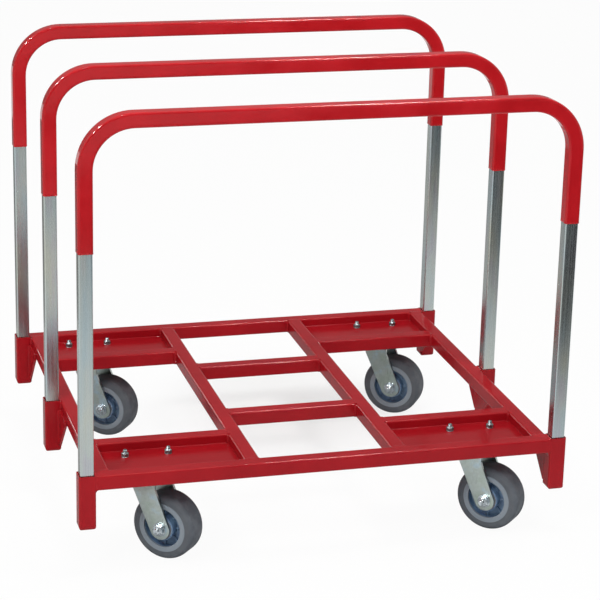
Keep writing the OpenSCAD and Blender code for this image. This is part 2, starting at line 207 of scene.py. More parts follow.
def makeTubeZinc():
    finish, tree, shader, place = startFinish("zincPlatedTube")
    # draw lines are under half a millimetre wide, drawn at lineSize so that they show
    lines = markPlace(tree, place, tubeZinc["lineSize"])
    draw = addNode(tree, "TexNoise", {"Vector": lines, "Scale": 1.0, "Detail": 3, "Roughness": 0.65}).outputs[0]
    hairs = markPlace(tree, place, tubeZinc["hairSize"])
    fine = addNode(tree, "TexNoise", {"Vector": hairs, "Scale": 1.0, "Detail": 1}).outputs[0]
    drift = markPlace(tree, place, tubeZinc["cloudSize"])
    cloud = addNode(tree, "TexNoise", {"Vector": drift, "Scale": 1.0, "Detail": 2}).outputs[0]
    other = addNode(tree, "TexNoise", {"Vector": drift, "W": 4, "Scale": 1.7, "Detail": 2},
                    noise_dimensions="4D").outputs[0]
    blueShare = addNode(tree, "MapRange", {0: cloud, 1: 0.48, 2: 0.68, 4: 0.75}).outputs[0]
    strawShare = addNode(tree, "MapRange", {0: cloud, 1: 0.46, 2: 0.3, 4: 0.6}).outputs[0]
    violetShare = addNode(tree, "MapRange", {0: other, 1: 0.52, 2: 0.7, 4: 0.5}).outputs[0]
    toBlue = addNode(tree, "Mix", {0: blueShare, 6: tubeZinc["grey"], 7: tubeZinc["blue"]},
                     data_type="RGBA").outputs[2]
    toStraw = addNode(tree, "Mix", {0: strawShare, 6: toBlue, 7: tubeZinc["straw"]}, data_type="RGBA").outputs[2]
    toViolet = addNode(tree, "Mix", {0: violetShare, 6: toStraw, 7: tubeZinc["violet"]},
                       data_type="RGBA").outputs[2]
    bright = addNode(tree, "MapRange", {0: draw, 1: 0.3, 2: 0.7, 3: 0.91, 4: 1.06}).outputs[0]
    colour = addNode(tree, "Mix", {0: 1.0, 6: toViolet, 7: bright}, data_type="RGBA",
                     blend_type="MULTIPLY").outputs[2]
    gloss = addNode(tree, "MapRange", {0: draw, 1: 0.25, 2: 0.75, 3: tubeZinc["soft"] - 0.04,
                                       4: tubeZinc["soft"] + 0.07}).outputs[0]
    bump = addNode(tree, "Bump", {"Strength": tubeZinc["bump"], "Distance": tubeZinc["bumpDeep"] * mm,
                                  "Height": fine}).outputs[0]
    setInputs(tree, shader, {"Base Color": colour, "Metallic": 1.0, "Roughness": gloss, "Normal": bump})
    return finish


# PVC plastisol dip, cured hot: thick glossy red plastic with soft rounded corners and a slow waviness.
dip = dict(red="#b91a21", deep="#ad171d", cloudSize=70, waveSize=16, softEdge=4, gloss=0.09, specular=0.25,
           bump=0.06, bumpDeep=1.0)


def makeDip():
    finish, tree, shader, place = startFinish("plastisolDip")
    cloud = addNode(tree, "TexNoise", {"Vector": place, "Scale": 1 / (dip["cloudSize"] * mm),
                                       "Detail": 3}).outputs[0]
    wave = addNode(tree, "TexNoise", {"Vector": place, "Scale": 1 / (dip["waveSize"] * mm),
                                      "Detail": 0.5}).outputs[0]
    tone = addNode(tree, "MapRange", {0: cloud, 1: 0.35, 2: 0.65}).outputs[0]
    colour = addNode(tree, "Mix", {0: tone, 6: dip["deep"], 7: dip["red"]}, data_type="RGBA").outputs[2]
    gloss = addNode(tree, "MapRange", {0: cloud, 1: 0.3, 2: 0.7, 3: dip["gloss"] - 0.03,
                                       4: dip["gloss"] + 0.04}).outputs[0]
    rounded = addNode(tree, "Bevel", {"Radius": dip["softEdge"] * mm}, samples=16).outputs[0]
    bump = addNode(tree, "Bump", {"Strength": dip["bump"], "Distance": dip["bumpDeep"] * mm, "Height": wave,
                                  "Normal": rounded}).outputs[0]
    setInputs(tree, shader, {"Base Color": colour, "Roughness": gloss, "Normal": bump, "IOR": 1.5,
                             "Specular IOR Level": dip["specular"]})
    return finish


# Electroplated zinc on pressed sheet: pale green-grey, mottled by the plating and bluer in clouds, with a painted
# highlight along its edges and painted shade in its inside corners.
pressing = dict(grey="#aeb8b4", green="#a8b4ac", blue="#acc2cf", dark="#727a7a", bright="#e8f0f4", grainSize=5,
                cloudSize=26, rollSize=(0.8, 0.8, 30), edgeRound=1.1, paintedShadeReach=8, soft=0.32, bump=0.15,
                bumpDeep=0.2)


def makePressing():
    finish, tree, shader, place = startFinish("zincPlatedPressing")
    cloud = addNode(tree, "TexNoise", {"Vector": place, "Scale": 1 / (pressing["cloudSize"] * mm),
                                       "Detail": 3}).outputs[0]
    grain = addNode(tree, "TexVoronoi",
                    {"Vector": place, "Scale": 1 / (pressing["grainSize"] * mm)}).outputs["Color"]
    level = addNode(tree, "SeparateColor", {0: grain}).outputs[0]
    stretch = markPlace(tree, place, pressing["rollSize"])
    roll = addNode(tree, "TexNoise", {"Vector": stretch, "Scale": 1.0, "Detail": 2}).outputs[0]
    rounded, edge = findEdges(tree, pressing, 0.985, 0.85, 0.7)
    greenShare = addNode(tree, "MapRange", {0: cloud, 1: 0.5, 2: 0.34}).outputs[0]
    blueShare = addNode(tree, "MapRange", {0: cloud, 1: 0.54, 2: 0.7, 4: 0.8}).outputs[0]
    toGreen = addNode(tree, "Mix", {0: greenShare, 6: pressing["grey"], 7: pressing["green"]},
                      data_type="RGBA").outputs[2]
    toBlue = addNode(tree, "Mix", {0: blueShare, 6: toGreen, 7: pressing["blue"]}, data_type="RGBA").outputs[2]
    spangle = addNode(tree, "MapRange", {0: level, 3: 0.94, 4: 1.05}).outputs[0]
    mottled = addNode(tree, "Mix", {0: 1.0, 6: toBlue, 7: spangle}, data_type="RGBA",
                      blend_type="MULTIPLY").outputs[2]
    # painted shade: the inside corners, found by occlusion, mix towards the dark grey
    openness = addNode(tree, "AmbientOcclusion", {"Distance": pressing["paintedShadeReach"] * mm},
                       samples=6).outputs["AO"]
    corner = addNode(tree, "MapRange", {0: openness, 1: 0.6, 2: 0.2, 4: 0.5}).outputs[0]
    # painted highlight: a pale colour along the sharp edges, where light would glint on them
    edged = addNode(tree, "Mix", {0: edge, 6: mottled, 7: pressing["bright"]}, data_type="RGBA").outputs[2]
    colour = addNode(tree, "Mix", {0: corner, 6: edged, 7: pressing["dark"]}, data_type="RGBA").outputs[2]
    gloss = addNode(tree, "MapRange", {0: roll, 1: 0.25, 2: 0.75, 3: pressing["soft"] - 0.07,
                                       4: pressing["soft"] + 0.09}).outputs[0]
    bump = addNode(tree, "Bump", {"Strength": pressing["bump"], "Distance": pressing["bumpDeep"] * mm,
                                  "Height": roll, "Normal": rounded}).outputs[0]
    setInputs(tree, shader, {"Base Color": colour, "Metallic": 1.0, "Roughness": gloss, "Normal": bump})
    return finish


# Bright zinc on cold-headed bolts and nuts: clean and shiny on the axles, with turning marks and brighter corners;
# duller on the plate bolts, and darker there as painted shade.
fastener = dict(grey="#c4ccd1", dark="#868e93", bright="#e8f0f4", markSize=0.8, cloudSize=6, edgeRound=0.35,
                shine=0.22, bump=0.1, bumpDeep=0.1)
# painted shade: a darker copy of the same zinc for the bolts and nuts down in the pans
shadedPlateFastener = dict(fastener, grey="#7f8689", dark="#43494c", bright="#9fa7ab", shine=0.38)


def makeFastener(name, look):
    finish, tree, shader, place = startFinish(name)
    cloud = addNode(tree, "TexNoise", {"Vector": place, "Scale": 1 / (look["cloudSize"] * mm),
                                       "Detail": 3}).outputs[0]
    mark = addNode(tree, "TexNoise", {"Vector": place, "Scale": 1 / (look["markSize"] * mm),
                                      "Detail": 2}).outputs[0]
    rounded, edge = findEdges(tree, look, 0.99, 0.85, 0.7)
    tone = addNode(tree, "MapRange", {0: cloud, 1: 0.3, 2: 0.55}).outputs[0]
    body = addNode(tree, "Mix", {0: tone, 6: look["dark"], 7: look["grey"]}, data_type="RGBA").outputs[2]
    colour = addNode(tree, "Mix", {0: edge, 6: body, 7: look["bright"]}, data_type="RGBA").outputs[2]
    gloss = addNode(tree, "MapRange", {0: cloud, 1: 0.3, 2: 0.7, 3: look["shine"] + 0.1,
                                       4: look["shine"] - 0.04}).outputs[0]
    bump = addNode(tree, "Bump", {"Strength": look["bump"], "Distance": look["bumpDeep"] * mm, "Height": mark,
                                  "Normal": rounded}).outputs[0]
    setInputs(tree, shader, {"Base Color": colour, "Metallic": 1.0, "Roughness": gloss, "Normal": bump})
    return finish


# Hardened bearing balls in grease: dark polished steel with a smeared brown film.
ballSteel = dict(steel="#8d8f90", film="#4a423a", smearSize=4, shine=0.16, filmDull=0.4)


def makeBallSteel():
    finish, tree, shader, place = startFinish("greasedBearingSteel")
    smear = addNode(tree, "TexNoise", {"Vector": place, "Scale": 1 / (ballSteel["smearSize"] * mm),
                                       "Detail": 3}).outputs[0]
    share = addNode(tree, "MapRange", {0: smear, 1: 0.42, 2: 0.6, 4: 0.8}).outputs[0]
    colour = addNode(tree, "Mix", {0: share, 6: ballSteel["steel"], 7: ballSteel["film"]},
                     data_type="RGBA").outputs[2]
    gloss = addNode(tree, "MapRange", {0: share, 3: ballSteel["shine"], 4: ballSteel["filmDull"]}).outputs[0]
    setInputs(tree, shader, {"Base Color": colour, "Metallic": 1.0, "Roughness": gloss})
    return finish


# Polyolefin wheel core, injection moulded: slate blue, half gloss, a fine tool texture, paler on rubbed
# edges and dusty in the pockets between the ribs.
core = dict(blue="#68849f", deep="#526a8a", rub="#93a8bb", dust="#8799a8", cloudSize=14, toolSize=1.2,
            edgeRound=0.8, pocketReach=14, gloss=0.42, bump=0.12, bumpDeep=0.2)


def makeCore():
    finish, tree, shader, place = startFinish("mouldedPolyolefin")
    cloud = addNode(tree, "TexNoise", {"Vector": place, "Scale": 1 / (core["cloudSize"] * mm),
                                       "Detail": 3}).outputs[0]
    tool = addNode(tree, "TexNoise", {"Vector": place, "Scale": 1 / (core["toolSize"] * mm),
                                      "Detail": 2}).outputs[0]
    rounded, edge = findEdges(tree, core, 0.99, 0.85, 0.6)
    openness = addNode(tree, "AmbientOcclusion", {"Distance": core["pocketReach"] * mm}, samples=6).outputs["AO"]
    pocket = addNode(tree, "MapRange", {0: openness, 1: 0.6, 2: 0.2, 4: 0.4}).outputs[0]
    dusty = addNode(tree, "Math", {0: pocket, 1: tool}, operation="MULTIPLY").outputs[0]
    tone = addNode(tree, "MapRange", {0: cloud, 1: 0.35, 2: 0.65}).outputs[0]
    body = addNode(tree, "Mix", {0: tone, 6: core["deep"], 7: core["blue"]}, data_type="RGBA").outputs[2]
    rubbed = addNode(tree, "Mix", {0: edge, 6: body, 7: core["rub"]}, data_type="RGBA").outputs[2]
    colour = addNode(tree, "Mix", {0: dusty, 6: rubbed, 7: core["dust"]}, data_type="RGBA").outputs[2]
    gloss = addNode(tree, "MapRange", {0: cloud, 1: 0.3, 2: 0.7, 3: core["gloss"] - 0.06,
                                       4: core["gloss"] + 0.1}).outputs[0]
    bump = addNode(tree, "Bump", {"Strength": core["bump"], "Distance": core["bumpDeep"] * mm, "Height": tool,
                                  "Normal": rounded}).outputs[0]
    setInputs(tree, shader, {"Base Color": colour, "Roughness": gloss, "Normal": bump, "IOR": 1.49})
    return finish


# Thermoplastic rubber tyre, moulded over the core: dull mid grey, a paler raised ring beside the core, and
# a rolling band that is scuffed and dusty.
rubber = dict(grey="#5a5f64", deep="#50555b", ring="#88929a", dust="#74797f", ringEdge=47.4, ringBlur=0.8,
              bandEdge=60.5, bandBlur=2, cloudSize=18, grainSize=1.1, dull=0.72, specular=0.35, bump=0.25,
              bumpDeep=0.25)


def makeRubber(tag):
    finish, tree, shader, place = startFinish("mouldedRubber_" + tag)
    spin = joints["wheel_spin_" + tag]
    fromHub = addNode(tree, "VectorMath", {0: place, 1: tuple(spin["pos_m"])}, operation="SUBTRACT").outputs[0]
    crossed = addNode(tree, "VectorMath", {0: fromHub, 1: tuple(spin["axis"])},
                      operation="CROSS_PRODUCT").outputs[0]
    radius = addNode(tree, "VectorMath", {0: crossed}, operation="LENGTH").outputs["Value"]
    cloud = addNode(tree, "TexNoise", {"Vector": place, "Scale": 1 / (rubber["cloudSize"] * mm),
                                       "Detail": 4}).outputs[0]
    grain = addNode(tree, "TexNoise", {"Vector": place, "Scale": 1 / (rubber["grainSize"] * mm),
                                       "Detail": 2}).outputs[0]
    ring = addNode(tree, "MapRange", {0: radius, 1: (rubber["ringEdge"] + rubber["ringBlur"]) * mm,
                                      2: rubber["ringEdge"] * mm, 4: 0.9}).outputs[0]
    band = addNode(tree, "MapRange", {0: radius, 1: rubber["bandEdge"] * mm,
                                      2: (rubber["bandEdge"] + rubber["bandBlur"]) * mm}).outputs[0]
    patch = addNode(tree, "MapRange", {0: cloud, 1: 0.45, 2: 0.7, 4: 0.45}).outputs[0]
    scuff = addNode(tree, "Math", {0: band, 1: patch}, operation="MULTIPLY").outputs[0]
    tone = addNode(tree, "MapRange", {0: cloud, 1: 0.35, 2: 0.65}).outputs[0]
    body = addNode(tree, "Mix", {0: tone, 6: rubber["deep"], 7: rubber["grey"]}, data_type="RGBA").outputs[2]
    ringed = addNode(tree, "Mix", {0: ring, 6: body, 7: rubber["ring"]}, data_type="RGBA").outputs[2]
    colour = addNode(tree, "Mix", {0: scuff, 6: ringed, 7: rubber["dust"]}, data_type="RGBA").outputs[2]
    gloss = addNode(tree, "MapRange", {0: cloud, 1: 0.3, 2: 0.7, 3: rubber["dull"] - 0.1,
                                       4: rubber["dull"] + 0.08}).outputs[0]
    bump = addNode(tree, "Bump", {"Strength": rubber["bump"], "Distance": rubber["bumpDeep"] * mm,
                                  "Height": grain}).outputs[0]
    setInputs(tree, shader, {"Base Color": colour, "Roughness": gloss, "Normal": bump, "IOR": 1.5,
                             "Specular IOR Level": rubber["specular"]})
    return finish


# Pressed steel bearing cap, dull zinc darkened by handling: mid grey with faint rings.
capSteel = dict(grey="#8c8b91", dark="#6d6c72", ringPitch=1.5, cloudSize=8, soft=0.42, bump=0.1, bumpDeep=0.1)


def makeCapSteel():
    finish, tree, shader, place = startFinish("pressedSteelCap")
    cloud = addNode(tree, "TexNoise", {"Vector": place, "Scale": 1 / (capSteel["cloudSize"] * mm),
                                       "Detail": 3}).outputs[0]
    mark = addNode(tree, "TexNoise", {"Vector": place, "Scale": 1 / (capSteel["ringPitch"] * mm),
                                      "Detail": 1}).outputs[0]
    colour = addNode(tree, "Mix", {0: cloud, 6: capSteel["dark"], 7: capSteel["grey"]}, data_type="RGBA").outputs[2]
    gloss = addNode(tree, "MapRange", {0: cloud, 1: 0.3, 2: 0.7, 3: capSteel["soft"] + 0.08,
                                       4: capSteel["soft"] - 0.06}).outputs[0]
    bump = addNode(tree, "Bump", {"Strength": capSteel["bump"], "Distance": capSteel["bumpDeep"] * mm,
                                  "Height": mark}).outputs[0]
    setInputs(tree, shader, {"Base Color": colour, "Metallic": 0.8, "Roughness": gloss, "Normal": bump})
    return finish


# Natural nylon in the lock nuts: milky grey-white, waxy.
nylon = dict(white="#aeab9f", shade="#96938a", cloudSize=3, gloss=(0.35, 0.5))


def makeNylon():
    finish, tree, shader, place = startFinish("naturalNylon")
    cloud = addNode(tree, "TexNoise", {"Vector": place, "Scale": 1 / (nylon["cloudSize"] * mm),
                                       "Detail": 2}).outputs[0]
    colour = addNode(tree, "Mix", {0: cloud, 6: nylon["shade"], 7: nylon["white"]}, data_type="RGBA").outputs[2]
    gloss = addNode(tree, "MapRange", {0: cloud, 3: nylon["gloss"][0], 4: nylon["gloss"][1]}).outputs[0]
    setInputs(tree, shader, {"Base Color": colour, "Roughness": gloss, "IOR": 1.53})
    return finish


finishes = dict(red_powder_coat=makePowderCoat("powderCoatedSteel", 1.0), zinc_tube=makeTubeZinc(),
                red_dip_coat=makeDip(), zinc_pressing=makePressing(),
                zinc_fasteners=makeFastener("zincPlatedFastener", fastener), bearing_steel=makeBallSteel(),
                blue_core=makeCore())
weldFinish, capFinish, nylonFinish = makePowderCoat("powderCoatedWeld", 0.0), makeCapSteel(), makeNylon()
shadedPlateFinish = makeFastener("zincPlatedPlateFastenerShaded", shadedPlateFastener)
rubberFinish = {tag: makeRubber(tag) for tag in cornerTags}
for name, node in nodes.items():
    slotName = node.data.materials[0].name.split(".")[0]
    for slot in node.material_slots:
        slot.material = rubberFinish[name[-2:]] if slotName == "grey_rubber" else finishes[slotName]
print("finishes on", len(nodes), "nodes")


def newPiece(name, points, faces, materials, body, faceFinish=None, sharpAngle=35):
    mesh = bpy.data.meshes.new(name)
    mesh.from_pydata(points, [], faces)
    for material in materials:
        mesh.materials.append(material)
    if faceFinish:
        mesh.polygons.foreach_set("material_index", faceFinish)
    shell = bmesh.new()
    shell.from_mesh(mesh)
    bmesh.ops.recalc_face_normals(shell, faces=shell.faces)
    shell.to_mesh(mesh)
    shell.free()
    mesh.shade_smooth()
    mesh.set_sharp_from_angle(angle=math.radians(sharpAngle))
    piece = bpy.data.objects.new(name, mesh)
    scene.collection.objects.link(piece)
    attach(piece, body)
    return piece


# Closed rings of equal count joined into a shell, with capped ends or with the last ring joined to the first
def addRings(points, faces, rings, place, joined=False):
    first, count, total = len(points), len(rings[0]), len(rings)
    for ring in rings:
        points.extend(place @ Vector(p) for p in ring)
    for r in range(total if joined else total - 1):
        low, high = first + r * count, first + (r + 1) % total * count
        for k in range(count):
            n = (k + 1) % count
            faces.append((low + k, low + n, high + n, high + k))
    if not joined:
        faces.append(tuple(range(first + count - 1, first - 1, -1)))
        last = first + (total - 1) * count
        faces.append(tuple(range(last, last + count)))


# Welds: fillets in the inside corners, and ground strips that fill the grooves beside the tubes' round corners
weld = dict(leg=4.2, socketLeg=3.8, panLeg=1.7, toeLeg=9, plateLeg=4, lapLeg=1.8, bulge=0.16, hollow=-0.2,
            ripplePitch=2.6, ripple=0.07, smooth=0.012, step=0.8, taper=4, endSize=0.45, uneven=0.6, root=0.3,
            sink=0.1, arcSteps=7, proud=0.3, tubeRound=4, socketRound=4, endGroove=1.0, inset=1.5, middleZone=200,
            seed=11)
weldPoints, weldFaces = [], []
weldDraw = random.Random(weld["seed"])


def sweepStrip(start, end, across, up, section, swellAcross, swellUp, ripple):
    start, end = Vector(start), Vector(end)
    length = (end - start).length
    rows = max(4, round(length / (weld["step"] * mm)))
    phase, rings = weldDraw.uniform(0, fullTurn), []
    for i in range(rows + 1):
        at = length * i / rows
        near = min(at, length - at) / (weld["taper"] * mm)
        fade = weld["endSize"] + (1 - weld["endSize"]) * math.sqrt(min(1, near))
        wave = math.sin(2 * math.pi * at / (weld["ripplePitch"] * mm) + phase)
        wave += weldDraw.uniform(-weld["uneven"], weld["uneven"])
        swell = fade * (1 + ripple * wave)
        spot = start + (end - start) * (i / rows)
        wider, taller = swell if swellAcross else 1, swell if swellUp else 1
        rings.append([spot + across * (u * mm * wider) + up * (w * mm * taller) for u, w in section])
    addRings(weldPoints, weldFaces, rings, Matrix.Identity(4))


def fillet(start, end, sideA, sideB, leg, hollow=False):
    section, sink = [(-weld["root"], -weld["root"])], weld["sink"]
    for k in range(weld["arcSteps"] + 1):
        s = k / weld["arcSteps"]
        out = weld["hollow" if hollow else "bulge"] * leg * math.sin(math.pi * s)
        section.append((leg * (1 - s) + out - sink, leg * s + out - sink))
    sweepStrip(start, end, sideA, sideB, section, True, True, weld["smooth" if hollow else "ripple"])


# across points to the side with the groove, up is out of the surface; the section runs over the top and back below it
def groundStrip(start, end, across, up, groove):
    proud = weld["proud"]
    section = [(groove + 0.9, -0.35), (groove * 0.55, proud * 0.8), (0, proud), (-1.1, proud * 0.7), (-2.2, -0.15),
               (-0.4, -1.2), (0, -groove * 0.95)]
    sweepStrip(start, end, across, up, section, False, True, weld["ripple"])


# Butt joint of a tube against the side of another: the butting tube's box, its long axis, and its end that meets
def teeJoint(name, along, end, sides=(-1, 1)):
    low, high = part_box(name)
    inset = weld["inset"] * mm
    axis, cross = (axisX, axisY) if along == 0 else (axisY, axisX)
    plane = high[along] if end > 0 else low[along]
    back = axis * -end
    across = 1 - along

    def spotAt(value, z):
        spot = Vector((0, 0, z))
        spot[along], spot[across] = plane, value
        return spot

    for z, out in ((high.z, axisZ), (low.z, -axisZ)):
        groundStrip(spotAt(low[across] + inset, z), spotAt(high[across] - inset, z), -back, out, weld["tubeRound"])
    for side in sides:
        face = high[across] if side > 0 else low[across]
        fillet(spotAt(face, low.z + inset), spotAt(face, high.z - inset), cross * side, back, weld["leg"])


for name, inner in (("left_rail", (1,)), ("right_rail", (-1,)), ("left_beam", (-1, 1)), ("right_beam", (-1, 1))):
    for end in (-1, 1):
        teeJoint(name, 1, end, inner)
for name in ("front_cross", "rear_cross") + tuple("pocket_rail_" + tag for tag in cornerTags):
    for end in (-1, 1):
        teeJoint(name, 0, end)

# Pans: a thin smooth run all round, in the corner with the pocket's walls
for tag in cornerTags:
    low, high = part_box("caster_pan_" + tag)
    for y, inward in ((low.y, axisY), (high.y, -axisY)):
        fillet((low.x, y, high.z), (high.x, y, high.z), axisZ, inward, weld["panLeg"], True)
    for x, inward in ((low.x, axisX), (high.x, -axisX)):
        fillet((x, low.y, high.z), (x, high.y, high.z), axisZ, inward, weld["panLeg"], True)

# Sockets: on the rails' ends or the end rails' faces, and the gusset plates beside them
railLow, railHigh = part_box("front_rail")
deckTop, railUnder, endFace, railDeep = railHigh.z, railLow.z, railHigh.x, railHigh.y - railLow.y
plateSpots = [v.co for v in nodes["gusset_plates"].data.vertices]
plateFace = max(abs(p.x) for p in plateSpots)
plateFoot, plateTop = min(p.z for p in plateSpots), max(p.z for p in plateSpots)
plateReach = max(p.y for p in plateSpots if abs(p.y) < weld["middleZone"] * mm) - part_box("socket_ml")[1].y
inset = weld["inset"] * mm
for s, side in (("l", -1), ("r", 1)):
    out, x = axisX * side, side * endFace
    for r, end in (("f", -1), ("m", 0), ("r", 1)):
        low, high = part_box("socket_" + r + s)
        for face, way in ((low.y, -1), (high.y, 1)):
            outward = axisY * way
            if way == end:
                # flush with the long rail's face: a ground strip there, and a smooth hollow run under the rail
                groundStrip((x, face, railUnder + inset), (x, face, deckTop - inset), out, outward,
                            weld["socketRound"])
                fillet((x, face - outward.y * 2 * inset, railUnder), (x, face - outward.y * railDeep, railUnder),
                       -out, -axisZ, weld["toeLeg"], True)
            else:
                tip = face + way * plateReach
                fillet((x, face, plateTop - inset), (x, face, deckTop - inset), outward, out, weld["socketLeg"])
                groundStrip((x, face, plateFoot + 2 * inset), (x, face, railUnder - inset), -outward, -out,
                            weld["socketRound"])
                fillet((side * plateFace, face, plateFoot + 2 * inset), (side * plateFace, face, plateTop - inset),
                       outward, out, weld["plateLeg"], True)
                fillet((x, face + way * inset, plateTop), (x, tip - way * inset, plateTop), axisZ, out,
                       weld["lapLeg"], True)
                fillet((x, face + way * inset, railUnder), (x, tip - way * 3 * inset, railUnder), -out, -axisZ,
                       weld["leg"], True)
        groundStrip((x, low.y + 2 * inset, deckTop), (x, high.y - 2 * inset, deckTop), -out, axisZ,
                    weld["tubeRound" if end == 0 else "endGroove"])
newPiece("deck_welds", weldPoints, weldFaces, [weldFinish], "base", sharpAngle=50)
print("welds:", len(weldFaces), "faces")


# Dipped coat: a rounded lip where the plastic ends on each leg
lip = dict(side=28.0, corner=3.9, thick=1.5, proud=0.3, tall=0.8, lift=0.2, sag=0.35, sides=10, perCorner=8)


def roundSquare(side, corner, perCorner):
    spots, inner = [], side / 2 - corner
    for q in range(4):
        cx, cy = ((inner, inner), (-inner, inner), (-inner, -inner), (inner, -inner))[q]
        for k in range(perCorner + 1):
            a = math.radians(90 * q + 90 * k / perCorner)
            spots.append((cx + corner * math.cos(a), cy + corner * math.sin(a), math.cos(a), math.sin(a)))
    return spots


for row in rowNames:
    low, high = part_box(row + "_dip_coat")
    coat = nodes[row + "_dip_coat"].data
    points, faces = [], []
    lipDraw = random.Random(len(row))
    outline = roundSquare(lip["side"], lip["corner"], lip["perCorner"])
    for side in (-1, 1):
        endZ = min(v.co.z for v in coat.vertices if v.co.x * side > 0)
        centre = Vector((side * (high.x - lip["side"] / 2 * mm), (low.y + high.y) / 2, endZ))
        turn = lipDraw.uniform(0, fullTurn)
        rings = []
        for n, (u, w, nu, nw) in enumerate(outline):
            around = 2 * math.pi * n / len(outline)
            drop = lip["sag"] * (0.5 * math.sin(around + turn) + 0.5 * math.sin(3 * around + 2 * turn))
            ring = []
            for k in range(lip["sides"]):
                a = 2 * math.pi * k / lip["sides"]
                reach = lip["thick"] / 2 * math.cos(a) - lip["thick"] / 2 + lip["proud"]
                rise = lip["thick"] * lip["tall"] * math.sin(a) + lip["thick"] * lip["lift"] + drop
                ring.append(((u + nu * reach) * mm, (w + nw * reach) * mm, rise * mm))
            rings.append(ring)
        addRings(points, faces, rings, Matrix.Translation(centre), True)
    newPiece(row + "_coat_lips", points, faces, [finishes["red_dip_coat"]], row + "_upright",
             sharpAngle=80)
print("coat lips made")


def onCircle(radius, angle, z):
    return radius * math.cos(angle) * mm, radius * math.sin(angle) * mm, z * mm


# Hexagon with the curved chamfers that a turning tool leaves on its corners
def hexRings(flats, low, high, count=48):
    faceRadius, slope = flats * 0.475, math.tan(math.radians(30))
    rings = [[], [], [], []]
    for k in range(count):
        a = 2 * math.pi * k / count
        r = flats / 2 / math.cos((a + math.pi / 6) % (math.pi / 3) - math.pi / 6)
        drop = (r - faceRadius) * slope
        for ring, radius, z in zip(rings, (faceRadius, r, r, faceRadius), (low, low + drop, high - drop, high)):
            ring.append(onCircle(radius, a, z))
    return rings


def turnedRings(profile, count=48):
    return [[onCircle(r, 2 * math.pi * k / count, z) for k in range(count)] for r, z in profile]


# Screw thread as a fine grid whose radius follows the helix, with a chamfered tip
def threadRings(radius, pitch, low, high, count=24, perTurn=5):
    depth, rows = pitch * 0.54, round((high - low) / pitch * perTurn)
    rings = []
    for i in range(rows + 1):
        z = low + (high - low) * i / rows
        limit = radius - max(0, z - (high - depth * 1.2)) * 0.9
        ring = []
        for k in range(count):
            turn = (z / pitch - k / count) % 1
            r = min(limit, radius - depth * abs(2 * turn - 1))
            ring.append(onCircle(r, 2 * math.pi * k / count, z))
        rings.append(ring)
    return rings


# Caster bolts, washers and lock nuts, in millimetres above the pan; the row nearer the front has shorter ends
plateBolt = dict(flats=13, headHigh=5.3, shank=8, pitch=1.25, washer=7.1, washerThick=(0.5, 0.9),
                 hexHigh=(2.7, 7.2), nutHigh=(3.1, 7.8), tip=(3.3, 13.6), collar=5.7, insert=4.7, overlap=0.2,
                 play=0.2, edge=0.3, nutReach=80, seed=5)
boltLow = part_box("caster_bolts")[0]
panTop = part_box("caster_pan_fl")[1].z
nutMesh = nodes["caster_nuts"].data
boltPoints, boltFaces, nutPoints, nutFaces, nutFinish = [], [], [], [], []
boltSpots = []
for tag in cornerTags:
    pin, reach = joints["swivel_" + tag]["pos_m"], plateBolt["nutReach"] * mm
    near = [v.co for v in nutMesh.vertices if abs(v.co.x - pin[0]) < reach and abs(v.co.y - pin[1]) < reach]
    reachX = (max(p.x for p in near) - min(p.x for p in near)) / 2 - plateBolt["flats"] / math.sqrt(3) * mm
    reachY = (max(p.y for p in near) - min(p.y for p in near)) / 2 - plateBolt["flats"] / 2 * mm
    boltSpots += [(pin[0] + sx * reachX, pin[1] + sy * reachY, (sy + 1) // 2) for sx in (-1, 1) for sy in (-1, 1)]
boltDraw = random.Random(plateBolt["seed"])
for cx, cy, row in boltSpots:
    turn = Matrix.Rotation(boltDraw.uniform(0, math.pi / 3), 4, "Z")
    place = Matrix.Translation((cx, cy, panTop)) @ turn
    under, shank = (boltLow.z - panTop) / mm, plateBolt["shank"] / 2
    thick, hexHigh, nutHigh, tip = (plateBolt[key][row] for key in ("washerThick", "hexHigh", "nutHigh", "tip"))
    collar, insert, washer, play, edge = (plateBolt[key] for key in ("collar", "insert", "washer", "play", "edge"))
    addRings(boltPoints, boltFaces, hexRings(plateBolt["flats"], under, under + plateBolt["headHigh"]), place)
    addRings(boltPoints, boltFaces, turnedRings([(shank, under + plateBolt["headHigh"]),
                                                 (shank, plateBolt["overlap"])], 24), place)
    addRings(boltPoints, boltFaces, threadRings(shank, plateBolt["pitch"], 0, tip), place)
    before = len(nutFaces)
    addRings(nutPoints, nutFaces, turnedRings([(shank + play, 0), (washer - play, 0), (washer, play),
                                               (washer, thick - edge), (washer - edge, thick),
                                               (shank + play, thick)]), place, True)
    addRings(nutPoints, nutFaces, hexRings(plateBolt["flats"], thick, hexHigh), place)
    addRings(nutPoints, nutFaces, turnedRings([(collar, hexHigh - 0.6), (collar, nutHigh - 1),
                                               (collar - edge, nutHigh - edge), (collar - 0.9, nutHigh),
                                               (insert, nutHigh - 0.1)]), place)
    nutFinish += [0] * (len(nutFaces) - before)
    before = len(nutFaces)
    addRings(nutPoints, nutFaces, turnedRings([(insert + 0.1, nutHigh - 1), (insert + 0.1, nutHigh - 0.05),
                                               (insert - 0.4, nutHigh + 0.05), (shank - 0.1, nutHigh - 0.1)]),
             place)
    nutFinish += [1] * (len(nutFaces) - before)
bolts = newPiece("caster_plate_bolts", boltPoints, boltFaces, [shadedPlateFinish], "base")
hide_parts("caster_bolts")
nuts = newPiece("caster_lock_nuts", nutPoints, nutFaces, [shadedPlateFinish, nylonFinish], "base",
                nutFinish)
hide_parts("caster_nuts")
print("bolts and nuts:", len(boltSpots))

